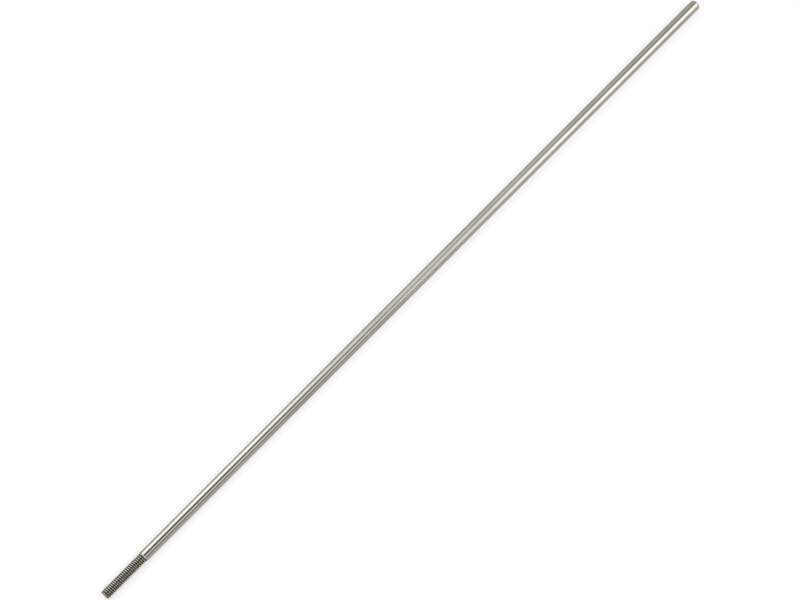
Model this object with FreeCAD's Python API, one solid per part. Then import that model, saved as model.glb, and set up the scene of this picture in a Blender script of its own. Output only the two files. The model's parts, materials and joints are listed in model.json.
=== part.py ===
"""Round stainless shaft, 5/32 in across and 12 1/2 in long, with a fine screw thread cut on one end.

It is turned and ground from one bar. The shaft lies along X with its axis on the X axis. The
threaded end points to -X, the plain end to +X, and the origin is where the full diameter starts.
"""
import FreeCAD
import Part
import math
import os

# Driving dimensions, in millimetres and degrees
overall_length = 317.5
shaft_diameter = 3.969
plain_end_chamfer = 0.4
neck_length = 0.83
thread_length = 19.05
thread_diameter = 3.505
thread_pitch = 0.79375
thread_angle = 60.0
thread_end_chamfer = 0.22

# Flats at the top and bottom of the thread, as shares of the pitch: the crests are left wide
crest_flat_share = 0.3
root_flat_share = 1 / 6

# Where the groove leaves the bar: it climbs out over this many turns and ends at this angle from +Y
# towards +Z, this far into the neck
run_out_turns = 0.75
groove_end_angle = 280.0
groove_into_neck = 0.264

# How finely the helical edges are drawn
points_per_turn = 16

# Sizes that follow from the driving dimensions
shaft_radius = shaft_diameter / 2
crest_radius = thread_diameter / 2
flank_slope = math.tan(math.radians(thread_angle / 2))
crest_flat = crest_flat_share * thread_pitch
root_flat = root_flat_share * thread_pitch
groove_depth = (thread_pitch - crest_flat - root_flat) / 2 / flank_slope
root_radius = crest_radius - groove_depth

# Stations along the axis, from the threaded end to the plain end
shoulder = 0.0
neck_start = shoulder - neck_length
threaded_end = neck_start - thread_length
plain_end = threaded_end + overall_length

# The cutter stands proud of the crests by half of what the flats leave, so that its turns never meet
cutter_overshoot = crest_flat / 4 / flank_slope
groove_end = neck_start + groove_into_neck
climb_start = groove_end - run_out_turns * thread_pitch
climb_rate = (groove_depth + 2 * cutter_overshoot) / (groove_end - climb_start)
turn_rate = 2 * math.pi / thread_pitch


def vector(along, across, up):
    return FreeCAD.Vector(along, across, up)


def turned_blank():
    """The bar as turned, before the thread: end face, lead-in, thread land, neck cone, shank, end chamfer."""
    profile = [
        vector(threaded_end, 0, 0),
        vector(threaded_end, 0, crest_radius - thread_end_chamfer),
        vector(threaded_end + thread_end_chamfer, 0, crest_radius),
        vector(neck_start, 0, crest_radius),
        vector(shoulder, 0, shaft_radius),
        vector(plain_end - plain_end_chamfer, 0, shaft_radius),
        vector(plain_end, 0, shaft_radius - plain_end_chamfer),
        vector(plain_end, 0, 0),
    ]
    outline = Part.makePolygon(profile + profile[:1])
    return Part.Face(outline).revolve(vector(0, 0, 0), vector(1, 0, 0), 360)


def cutter_corners():
    """Radius and axial shift of each corner of the cutting tool's section, root first."""
    half_root = root_flat / 2
    half_top = half_root + (groove_depth + cutter_overshoot) * flank_slope
    top_radius = crest_radius + cutter_overshoot
    return [(root_radius, -half_root), (root_radius, half_root), (top_radius, half_top), (top_radius, -half_top)]


def angle_at(along):
    """Angle of the right-hand groove about the axis, from +Y towards +Z."""
    return math.radians(groove_end_angle) + turn_rate * (along - groove_end)


def climb_at(along):
    """How far the tool has been drawn back from full depth, over the run-out."""
    return max(0.0, along - climb_start) * climb_rate


def corner_place(corner, along):
    radius, shift = corner
    radius += climb_at(along)
    angle = angle_at(along)
    return vector(along + shift, radius * math.cos(angle), radius * math.sin(angle))


def corner_direction(corner, along, rate):
    """Direction in which the corner travels for one millimetre along the axis."""
    radius = corner[0] + climb_at(along)
    angle = angle_at(along)
    across = rate * math.cos(angle) - radius * turn_rate * math.sin(angle)
    up = rate * math.sin(angle) + radius * turn_rate * math.cos(angle)
    return vector(1, across, up)


def helical_edge(corner, first, last):
    """One turn, or less, of the line that a corner of the tool cuts."""
    rate = climb_rate if (first + last) / 2 > climb_start else 0.0
    steps = [first + (last - first) * step / points_per_turn for step in range(points_per_turn + 1)]
    curve = Part.BSplineCurve()
    curve.interpolate(
        Points=[corner_place(corner, along) for along in steps],
        Parameters=[along - first for along in steps],
        Tangents=[corner_direction(corner, along, rate) for along in steps],
        TangentFlags=[True] * len(steps),
        Scale=False,
    )
    return curve.toShape()


def tool_section(along):
    """The flat section of the tool, which closes the swept groove at either end."""
    places = [corner_place(corner, along) for corner in cutter_corners()]
    return Part.Face(Part.makePolygon(places + places[:1]))


def thread_cutter():
    """The space that the die clears, swept turn by turn from beyond the end face to the run-out."""
    turns = math.ceil((climb_start - threaded_end) / thread_pitch) + 1
    stations = [climb_start - thread_pitch * turn for turn in range(turns, -1, -1)] + [groove_end]
    faces = [tool_section(stations[0]), tool_section(stations[-1])]
    for first, last in zip(stations, stations[1:]):
        edges = [helical_edge(corner, first, last) for corner in cutter_corners()]
        for edge, next_edge in zip(edges, edges[1:] + edges[:1]):
            faces.append(Part.makeRuledSurface(edge, next_edge))
    shell = Part.Shell(faces)
    shell.sewShape()
    return Part.Solid(shell)


os.makedirs("parts", exist_ok=True)
shaft = turned_blank().cut(thread_cutter()).Solids[0]
shaft.exportStep("parts/shaft.step")
print("shaft volume", round(shaft.Volume, 2), "mm3, valid", shaft.isValid())
print("length", round(shaft.optimalBoundingBox(True, False).XLength, 4), "faces", len(shaft.Faces))
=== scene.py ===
"""The looks of a long slim ground steel shaft with a screw thread on one end.

All lengths are in metres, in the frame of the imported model: the shaft lies along X, its threaded
end points to -X, and the origin is on the axis where the full diameter starts.
"""
import json
import math
import bpy
import numpy as np
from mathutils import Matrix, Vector


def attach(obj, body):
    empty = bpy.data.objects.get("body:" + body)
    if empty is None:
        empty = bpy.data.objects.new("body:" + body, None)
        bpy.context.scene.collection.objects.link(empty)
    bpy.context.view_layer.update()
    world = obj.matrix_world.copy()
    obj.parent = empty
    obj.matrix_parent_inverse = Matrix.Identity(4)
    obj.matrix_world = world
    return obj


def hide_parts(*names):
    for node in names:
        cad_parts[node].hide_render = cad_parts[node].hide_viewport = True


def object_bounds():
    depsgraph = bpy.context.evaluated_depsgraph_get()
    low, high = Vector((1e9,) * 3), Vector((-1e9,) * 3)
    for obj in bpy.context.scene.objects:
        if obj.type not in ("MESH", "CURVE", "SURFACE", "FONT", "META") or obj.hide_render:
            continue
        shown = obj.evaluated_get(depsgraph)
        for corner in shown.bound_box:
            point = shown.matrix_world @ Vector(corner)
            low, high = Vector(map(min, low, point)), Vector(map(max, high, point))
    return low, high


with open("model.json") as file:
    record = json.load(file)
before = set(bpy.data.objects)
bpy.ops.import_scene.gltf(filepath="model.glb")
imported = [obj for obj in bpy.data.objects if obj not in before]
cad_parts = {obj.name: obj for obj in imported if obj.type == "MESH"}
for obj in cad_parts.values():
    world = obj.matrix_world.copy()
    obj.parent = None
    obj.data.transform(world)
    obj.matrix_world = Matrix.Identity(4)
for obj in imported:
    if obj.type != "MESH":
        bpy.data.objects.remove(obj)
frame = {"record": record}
cad_low, cad_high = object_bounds()
MM = 0.001

# Sizes of the shaft. They repeat its source, apart from the radius of the thread's crests and the
# turns of its run-out, which are closer to the photograph here.
mounts = {mount["name"]: mount for mount in frame["record"]["mounts"]}
shaft_radius = mounts["plain_shank"]["dims"]["r_mm"] * MM
threaded_end, plain_end = cad_low.x, cad_high.x
neck_start = -0.83 * MM
crest_radius = 3.7 / 2 * MM
thread_pitch = 0.79375 * MM
flank_slope = math.tan(math.radians(30))
crest_flat = thread_pitch * 0.3
root_flat = thread_pitch / 6
groove_depth = (thread_pitch - crest_flat - root_flat) / 2 / flank_slope
root_radius = crest_radius - groove_depth
thread_end_chamfer = 0.22 * MM
plain_end_chamfer = 0.4 * MM

# The groove climbs out of the bar over these turns, and ends in the neck at this angle from +Y
# towards +Z
run_out_turns = 0.5
groove_end_angle = math.radians(280.0)
groove_into_neck = 0.264 * MM
cutter_overshoot = crest_flat / 4 / flank_slope
groove_end = neck_start + groove_into_neck
climb_start = groove_end - run_out_turns * thread_pitch
climb_rate = (groove_depth + 2 * cutter_overshoot) / (groove_end - climb_start)

# A small dent in the shank, at this station and this angle from +Y towards +Z
dent_along = 26.9 * MM
dent_angle = math.radians(123.5)
dent_radius = 0.3 * MM
dent_depth = 0.04 * MM

# How finely the mesh is drawn. Rows stand close to each edge, so that smooth shading rounds it
# only there, and the corners between the thread's crests and flanks are blended.
columns = 96
rows_per_pitch = 36
neck_rows = 8
shank_rows = 60
chamfer_rows = 5
dent_rows = 17
edge_rows = 4
edge_reach = 0.03 * MM
corner_blend = 0.008 * MM
face_rings = (0.97, 0.9, 0.6, 0.3)

# Where the surface changes: how softly the thread, neck and shank meet, how far below the crests
# the painted shade in the grooves starts and is full and the flanks are dull, the depth of an end
# face, and how far the dark spot painted at the dent reaches and how much of it is the dark colour
neck_fade = 0.15 * MM
groove_shade_top = 0.004 * MM
groove_shade_bottom = 0.035 * MM
flank_dull = 0.03 * MM
face_skin = 0.02 * MM
dent_spot_reach = 0.66 * MM
dent_spot_share = 0.95

# Colours of the steel, and of the painted shade in its grooves and the dark spot painted at its
# dent.
# The edge tint is what the steel reflects at a flat angle.
steel_darker = (0.48, 0.462, 0.396, 1)
steel_lighter = (0.536, 0.517, 0.447, 1)
thread_colour = (0.535, 0.49, 0.4, 1)
thread_colour_share = 0.7
neck_colour = (0.43, 0.418, 0.42, 1)
# Near black, painted into the thread's grooves as shade and at the dent as a dark spot
dark_paint_colour = (0.03, 0.026, 0.02, 1)
edge_tint = (0.5, 0.48, 0.43, 1)
# Gloss of that painted dark colour, which is not metal
dark_paint_gloss = 0.1

# Roughness of the steel, and what the neck and the grooves add to it. The marks of grinding run
# round the shaft, so they blur reflections along it.
shank_roughness = (0.115, 0.15)
neck_roughness = 0.28
groove_roughness = 0.4
anisotropy = 0.86
quarter_turn = 0.25

# Clouding and fine marks: cells to the metre along and across the shaft, or rings to the metre,
# and the layers of finer noise, strength and depth
cloud_cells = (60.0, 260.0)
cloud_detail = 3.0
cloud_range = (0.3, 0.7)
grinding_cells = (2600.0, 90.0)
grinding_detail = 2.0
grinding_strength = 0.1
grinding_depth = 0.004 * MM
turning_rings = 16000.0
turning_strength = 0.35
turning_depth = 0.02 * MM

# The photograph's camera: it stands high beyond the threaded end and looks down along the shaft
image_width_px = 800
focal_px = 3681.4
sensor_width_mm = 36.0
clip_near, clip_far = 0.01, 20
shaft_slant_in_image = math.radians(45.03)
camera_height_over_axis = 1.30175
camera_foot_from_end = -0.19685
aim_from_square = math.radians(15.072)

camera_elevation = math.atan(math.sin(shaft_slant_in_image) / math.tan(aim_from_square))
toward_camera_x = -math.sin(aim_from_square)
toward_camera_z = math.sin(camera_elevation)
toward_camera_y = -math.sqrt(1 - toward_camera_x ** 2 - toward_camera_z ** 2)
toward_camera = Vector((toward_camera_x, toward_camera_y, toward_camera_z))
camera_foot = threaded_end + camera_foot_from_end
aim_point = Vector((camera_foot + camera_height_over_axis * math.tan(aim_from_square), 0, 0))
camera_distance = camera_height_over_axis / math.cos(aim_from_square)
camera_lean = math.atan2(-toward_camera_y, toward_camera_z)

# The studio: a round floor of white paper that sweeps up into a low wall. Round the shaft, part of
# its white is added for the eye, and less of it for reflections.
floor_middle_along = 0.14
floor_radius = 3.0
floor_rings = (0.6, 1.5)
floor_sides = 96
wall_height = 1.0
sweep_radius = 0.5
sweep_steps = 12
near_paper = (0.475, 0.475, 0.475, 1)
far_paper = (0.9, 0.9, 0.9, 1)
lift_colour = (1, 1, 1, 1)
near_lift, far_lift = 0.5, 0.045
lift_fades_from, lift_fades_out = 0.5, 1.2
reflected_lift = 0.44
paper_roughness = 0.9
paper_gloss = 0.1
air_colour = (0.34, 0.34, 0.335, 1)

# Flat panels round the shaft. Each has a name, its first and last angle round the shaft in
# degrees, its distance from the axis and its first and last station. A lamp has its radiance too.
lamp_colour = (0.99, 0.985, 1.01)
lamps = [
    ("left_softbox", -88, -33, 0.8, -0.45, 0.27, 1.24),
    ("left_outer", -88, -24, 0.85, -0.3, 0.42, 0.36),
    ("left_wall", -78, -42, 0.9, 0.27, 1.4, 0.36),
    ("right_strip", 8, 31, 1.0, -0.3, 1.3, 0.65),
    ("far_softbox", -4, 58, 1.1, 0.54, 1.6, 0.8),
    ("far_outer", -14, 66, 1.2, 0.5, 1.7, 0.5),
    ("near_fill", -35, 60, 1.1, -1.5, -0.5, 2.0),
    ("far_fill", -35, 60, 1.3, 1.3, 2.5, 1.5),
    ("upper_glow", -34, -13, 0.92, 0.255, 0.54, 0.42),
    ("right_glow", 22, 40, 0.96, 0.2, 0.5, 0.28),
    ("left_glow", -88, -48, 0.94, 0.25, 0.62, 0.2),
]
camera_boom = ("camera_boom", -26, 3, 1.0, -0.5, 0.335)
card_colour = (0.02, 0.02, 0.02, 1)
card_roughness = 0.9


def thread_groove(along, angle):
    """Radius that the thread cutter leaves at a place, very large where it doesn't reach."""
    centre_line = groove_end + (angle - groove_end_angle) / (2 * math.pi) * thread_pitch
    offset = (along - centre_line + thread_pitch / 2) % thread_pitch - thread_pitch / 2
    centre = along - offset
    climb = np.maximum(0.0, centre - climb_start) * climb_rate
    flank = np.maximum(0.0, np.abs(offset) - root_flat / 2) / flank_slope
    return root_radius + np.where(centre < groove_end + thread_pitch / 2, climb, 1.0) + flank


def turned_radius(along):
    """Radius of the bar before the thread is cut."""
    stations = [
        (threaded_end, crest_radius - thread_end_chamfer),
        (threaded_end + thread_end_chamfer, crest_radius),
        (neck_start, crest_radius),
        (0.0, shaft_radius),
        (plain_end - plain_end_chamfer, shaft_radius),
        (plain_end, shaft_radius - plain_end_chamfer),
    ]
    return np.interp(along, [s[0] for s in stations], [s[1] for s in stations])


def dent(along, angle):
    """How far the dent takes the surface in."""
    across = ((angle - dent_angle + math.pi) % (2 * math.pi) - math.pi) * shaft_radius
    share = np.hypot(along - dent_along, across) / dent_radius
    return dent_depth * np.clip(1 - share ** 2, 0, 1) ** 2


def softer_min(a, b):
    """The smaller of two radii, with the corner between them rounded inwards."""
    near = np.clip(0.5 + 0.5 * (b - a) / corner_blend, 0.0, 1.0)
    return b + (a - b) * near - corner_blend * near * (1 - near)


def mesh_rows():
    """Stations of the mesh's rows along the shaft."""
    chamfer_start = plain_end - plain_end_chamfer
    thread_rows = round((neck_start - threaded_end) / thread_pitch * rows_per_pitch) + 1
    stretches = [
        (threaded_end, neck_start, thread_rows),
        (neck_start, 0.0, neck_rows),
        (0.0, chamfer_start, shank_rows),
        (chamfer_start, plain_end, chamfer_rows),
        (dent_along - dent_radius, dent_along + dent_radius, dent_rows),
    ]
    for edge in (threaded_end + thread_end_chamfer, neck_start, 0.0, chamfer_start):
        stretches.append((edge - edge_reach, edge + edge_reach, edge_rows))
    rows = np.concatenate([np.linspace(*stretch) for stretch in stretches])
    return np.unique(np.round(rows, 8))


def angles_round(count):
    """Evenly spaced angles of a full turn."""
    return np.arange(count) * 2 * math.pi / count


def ringed_mesh(name, rings, first_middle, last_middle=None):
    """A smooth skin over rings of points, closed by a fan to a middle at one or both ends."""
    sides = len(rings[0])
    points = np.concatenate(rings).tolist()
    order = [range(start, start + sides) for start in range(0, len(points), sides)]
    neighbours = [(j, (j + 1) % sides) for j in range(sides)]
    faces = [
        (ring[j], following[j], following[k], ring[k])
        for ring, following in zip(order, order[1:])
        for j, k in neighbours
    ]
    faces += [(len(points), order[0][j], order[0][k]) for j, k in neighbours]
    points.append(first_middle)
    if last_middle:
        faces += [(len(points), order[-1][k], order[-1][j]) for j, k in neighbours]
        points.append(last_middle)
    mesh = bpy.data.meshes.new(name)
    mesh.from_pydata(points, [], faces)
    mesh.shade_smooth()
    return mesh


def shaft_mesh(name):
    """The whole shaft as one closed skin: its turned, threaded and dented side and both ends."""
    along, angle = np.meshgrid(mesh_rows(), angles_round(columns), indexing="ij")
    radius = softer_min(turned_radius(along), thread_groove(along, angle)) - dent(along, angle)
    sides = np.stack([along, radius * np.cos(angle), radius * np.sin(angle)], axis=-1)
    threaded_face = [sides[0] * (1, share, share) for share in face_rings]
    plain_face = [sides[-1] * (1, share, share) for share in face_rings]
    rings = threaded_face[::-1] + list(sides) + plain_face
    return ringed_mesh(name, rings, (threaded_end, 0, 0), (plain_end, 0, 0))


def new_object(name, data):
    made = bpy.data.objects.new(name, data)
    bpy.context.scene.collection.objects.link(made)
    return made


def new_material(name):
    """A new material, and its shader."""
    made = bpy.data.materials.new(name)
    made.use_nodes = True
    return made, made.node_tree.nodes["Principled BSDF"]


class Graph:
    """Short ways to build the node tree of one material."""

    def __init__(self, name):
        self.material, self.shader = new_material(name)
        self.nodes = self.material.node_tree.nodes
        self.links = self.material.node_tree.links
        self.place = self.nodes.new("ShaderNodeTexCoord").outputs["Object"]

    def join(self, value, socket):
        """Sets an input to a number or colour, or links it to another node's output."""
        if isinstance(value, (int, float, tuple)):
            socket.default_value = value
        else:
            self.links.new(value, socket)

    def surface(self, name, value):
        """Sets one input of the shader."""
        self.join(value, self.shader.inputs[name])

    def math(self, operation, first, second=0.0):
        node = self.nodes.new("ShaderNodeMath")
        node.operation = operation
        self.join(first, node.inputs[0])
        self.join(second, node.inputs[1])
        return node.outputs["Value"]

    def times(self, first, second):
        return self.math("MULTIPLY", first, second)

    def larger(self, first, second):
        return self.math("MAXIMUM", first, second)

    def rest(self, share):
        """What a share leaves of 1."""
        return self.math("SUBTRACT", 1.0, share)

    def between(self, value, low, high, start=0.0, end=1.0, course="LINEAR"):
        """The range from low to high as value goes from start to end."""
        node = self.nodes.new("ShaderNodeMapRange")
        node.interpolation_type = course
        self.join(value, node.inputs["Value"])
        node.inputs["From Min"].default_value = start
        node.inputs["From Max"].default_value = end
        node.inputs["To Min"].default_value = low
        node.inputs["To Max"].default_value = high
        return node.outputs["Result"]

    def smooth(self, value, start, end):
        """0 up to start and 1 from end on, with a smooth climb between them."""
        return self.between(value, 0.0, 1.0, start, end, "SMOOTHSTEP")

    def noise(self, cells, detail):
        """Noise with these many cells to the metre along and across the shaft."""
        along, across = cells
        spread = self.nodes.new("ShaderNodeMapping")
        spread.inputs["Scale"].default_value = (along, across, across)
        self.links.new(self.place, spread.inputs["Vector"])
        node = self.nodes.new("ShaderNodeTexNoise")
        node.inputs["Scale"].default_value = 1.0
        node.inputs["Detail"].default_value = detail
        self.links.new(spread.outputs["Vector"], node.inputs["Vector"])
        return node.outputs["Fac"]

    def rings(self, radius, scale):
        """Noise in rings about the shaft's axis, with this many to the metre."""
        node = self.nodes.new("ShaderNodeTexNoise")
        node.noise_dimensions = "1D"
        node.inputs["Scale"].default_value = scale
        self.links.new(radius, node.inputs["W"])
        return node.outputs["Fac"]

    def bump(self, height, strength, distance, normal=None):
        node = self.nodes.new("ShaderNodeBump")
        node.inputs["Strength"].default_value = strength
        node.inputs["Distance"].default_value = distance
        self.links.new(height, node.inputs["Height"])
        if normal:
            self.links.new(normal, node.inputs["Normal"])
        return node.outputs["Normal"]

    def mix(self, amount, first, second):
        node = self.nodes.new("ShaderNodeMix")
        node.data_type = "RGBA"
        self.join(amount, node.inputs["Factor"])
        self.join(first, node.inputs["A"])
        self.join(second, node.inputs["B"])
        return node.outputs["Result"]

    def spot(self, centre, size):
        """1 at a place on the shaft, falling to 0 at this distance from it."""
        node = self.nodes.new("ShaderNodeVectorMath")
        node.operation = "DISTANCE"
        self.links.new(self.place, node.inputs[0])
        node.inputs[1].default_value = centre
        return self.smooth(node.outputs["Value"], size, 0.0)


def steel_material():
    graph = Graph("ground_steel")
    parts = graph.nodes.new("ShaderNodeSeparateXYZ")
    graph.links.new(graph.place, parts.inputs["Vector"])
    along = parts.outputs["X"]
    squares = [graph.math("POWER", parts.outputs[axis], 2.0) for axis in "YZ"]
    radius = graph.math("SQRT", graph.math("ADD", *squares))

    # Shares that are 1 on the thread, off the shank, on the neck, behind the threaded face and on
    # either end face, and 0 elsewhere
    thread = graph.smooth(along, neck_start, neck_start - neck_fade)
    off_shank = graph.smooth(along, 0.0, -neck_fade)
    neck = graph.times(graph.smooth(along, neck_start - neck_fade, neck_start), off_shank)
    behind_face = graph.smooth(along, threaded_end + face_skin / 2, threaded_end + face_skin)
    plain_face = graph.smooth(along, plain_end - face_skin, plain_end - face_skin / 2)
    end_faces = graph.larger(plain_face, graph.rest(behind_face))

    # Warm grey steel, a little clouded, browner on the thread and cooler on the neck
    cloud = graph.noise(cloud_cells, cloud_detail)
    steel = graph.mix(graph.smooth(cloud, *cloud_range), steel_darker, steel_lighter)
    steel = graph.mix(graph.times(thread, thread_colour_share), steel, thread_colour)
    steel = graph.mix(neck, steel, neck_colour)

    # Painted shade: near black in the thread's grooves, below the bar's surface as it was turned,
    # and a dark spot painted at the dent
    turned = graph.between(along, crest_radius, shaft_radius, neck_start, 0.0)
    below = graph.math("SUBTRACT", turned, radius)
    painted_shade_and_spot = graph.times(graph.smooth(below, groove_shade_top, groove_shade_bottom), off_shank)
    painted_shade_and_spot = graph.times(painted_shade_and_spot, behind_face)
    across, up = shaft_radius * math.cos(dent_angle), shaft_radius * math.sin(dent_angle)
    dent_spot = graph.times(graph.spot((dent_along, across, up), dent_spot_reach), dent_spot_share)
    painted_shade_and_spot = graph.larger(painted_shade_and_spot, dent_spot)
    # The painted shade and the dark spot take the place of the steel's colour and are not metal
    graph.surface("Base Color", graph.mix(painted_shade_and_spot, steel, dark_paint_colour))
    graph.surface("Metallic", graph.rest(painted_shade_and_spot))
    graph.surface("Specular Tint", edge_tint)
    graph.surface("Specular IOR Level", dark_paint_gloss)

    # Sharp reflections across the shaft and long ones along it, duller on the neck and flanks
    dull = graph.times(graph.smooth(below, 0.0, flank_dull), off_shank)
    roughness = graph.between(cloud, *shank_roughness)
    roughness = graph.math("ADD", roughness, graph.times(neck, neck_roughness))
    roughness = graph.math("ADD", roughness, graph.times(dull, groove_roughness))
    graph.surface("Roughness", roughness)
    graph.surface("Anisotropic", anisotropy)
    graph.surface("Anisotropic Rotation", quarter_turn)
    round_axis = graph.nodes.new("ShaderNodeTangent")
    round_axis.direction_type = "RADIAL"
    round_axis.axis = "X"
    graph.surface("Tangent", round_axis.outputs["Tangent"])

    # Fine marks of grinding, and of turning on both end faces
    grinding = graph.noise(grinding_cells, grinding_detail)
    turning = graph.times(graph.rings(radius, turning_rings), end_faces)
    marks = graph.bump(grinding, grinding_strength, grinding_depth)
    graph.surface("Normal", graph.bump(turning, turning_strength, turning_depth, marks))
    return graph.material


def floor_material():
    """White paper, part of whose white is added by Light Path round the shaft."""
    graph = Graph("pale_floor")
    distance = graph.nodes.new("ShaderNodeVectorMath")
    distance.operation = "LENGTH"
    graph.links.new(graph.place, distance.inputs[0])
    near = graph.smooth(distance.outputs["Value"], lift_fades_out, lift_fades_from)
    graph.surface("Base Color", graph.mix(near, far_paper, near_paper))
    graph.surface("Roughness", paper_roughness)
    graph.surface("Specular IOR Level", paper_gloss)
    graph.surface("Emission Color", lift_colour)
    path = graph.nodes.new("ShaderNodeLightPath").outputs
    seen = graph.larger(path["Is Camera Ray"], graph.times(path["Is Glossy Ray"], reflected_lift))
    seen = graph.larger(seen, path["Is Transmission Ray"])
    lift = graph.between(near, far_lift, near_lift)
    graph.surface("Emission Strength", graph.times(seen, lift))
    return graph.material


def studio_floor():
    sweep_start = floor_radius - sweep_radius
    profile = [(ring, 0.0) for ring in floor_rings + (sweep_start,)]
    for step in range(1, sweep_steps + 1):
        turn = step / sweep_steps * math.pi / 2
        out = sweep_start + sweep_radius * math.sin(turn)
        profile.append((out, sweep_radius * (1 - math.cos(turn))))
    profile.append((floor_radius, wall_height))
    angles = angles_round(floor_sides)
    rings = [
        [(out * math.cos(angle), out * math.sin(angle), up) for angle in angles]
        for out, up in profile
    ]
    floor = new_object("studio_floor", ringed_mesh("studio_floor", rings, (0, 0, 0)))
    floor.location = (floor_middle_along, 0, -shaft_radius)
    floor.data.materials.append(floor_material())


def direction_round_shaft(degrees):
    """Across the shaft, this many degrees from the camera's side of it towards -Y."""
    from_vertical = camera_lean + math.radians(degrees)
    return Vector((0, -math.sin(from_vertical), math.cos(from_vertical)))


def panel_place(first, last, distance, start, end):
    """Place, width, height and turn of a flat panel between these angles and stations."""
    towards = direction_round_shaft((first + last) / 2)
    place = towards * distance + Vector(((start + end) / 2, 0, 0))
    height = 2 * distance * math.tan(math.radians(last - first) / 2)
    return place, end - start, height, (-towards).to_track_quat("-Z", "Y").to_euler()


def softbox(name, first, last, distance, start, end, radiance):
    """A lamp panel of a given radiance beside the shaft, which the camera doesn't see."""
    place, width, height, turn = panel_place(first, last, distance, start, end)
    light = bpy.data.lights.new(name, "AREA")
    light.shape = "RECTANGLE"
    light.size, light.size_y = width, height
    light.energy = radiance * math.pi * width * height
    light.color = lamp_colour
    lamp = new_object(name, light)
    lamp.location = place
    lamp.rotation_euler = turn
    lamp.visible_camera = False


def dark_card(name, first, last, distance, start, end):
    """A black card over the shaft, seen only as the dark line that it leaves in the polish."""
    place, width, height, turn = panel_place(first, last, distance, start, end)
    right, top = width / 2, height / 2
    corners = [(-right, -top, 0), (right, -top, 0), (right, top, 0), (-right, top, 0)]
    mesh = bpy.data.meshes.new(name)
    mesh.from_pydata(corners, [], [(0, 1, 2, 3)])
    black, shader = new_material("black_card")
    shader.inputs["Base Color"].default_value = card_colour
    shader.inputs["Roughness"].default_value = card_roughness
    mesh.materials.append(black)
    card = new_object(name, mesh)
    card.location = place
    card.rotation_euler = turn
    card.visible_camera = False
    card.visible_diffuse = False
    card.visible_shadow = False


def add_camera():
    lens = bpy.data.cameras.new("camera")
    lens.sensor_width = sensor_width_mm
    lens.lens = focal_px / image_width_px * sensor_width_mm
    lens.clip_start, lens.clip_end = clip_near, clip_far
    camera = new_object("camera", lens)
    camera.location = aim_point + toward_camera * camera_distance
    camera.rotation_euler = (-toward_camera).to_track_quat("-Z", "Y").to_euler()
    bpy.context.scene.camera = camera


add_camera()
studio_floor()

world = bpy.data.worlds.new("studio_air")
bpy.context.scene.world = world
world.use_nodes = True
world.node_tree.nodes["Background"].inputs["Color"].default_value = air_colour

for lamp in lamps:
    softbox(*lamp)
dark_card(*camera_boom)

shaft = new_object("ground_shaft", shaft_mesh("ground_shaft"))
shaft.data.materials.append(steel_material())
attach(shaft, "root")
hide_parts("shaft")

bpy.context.scene.view_settings.view_transform = "Standard"
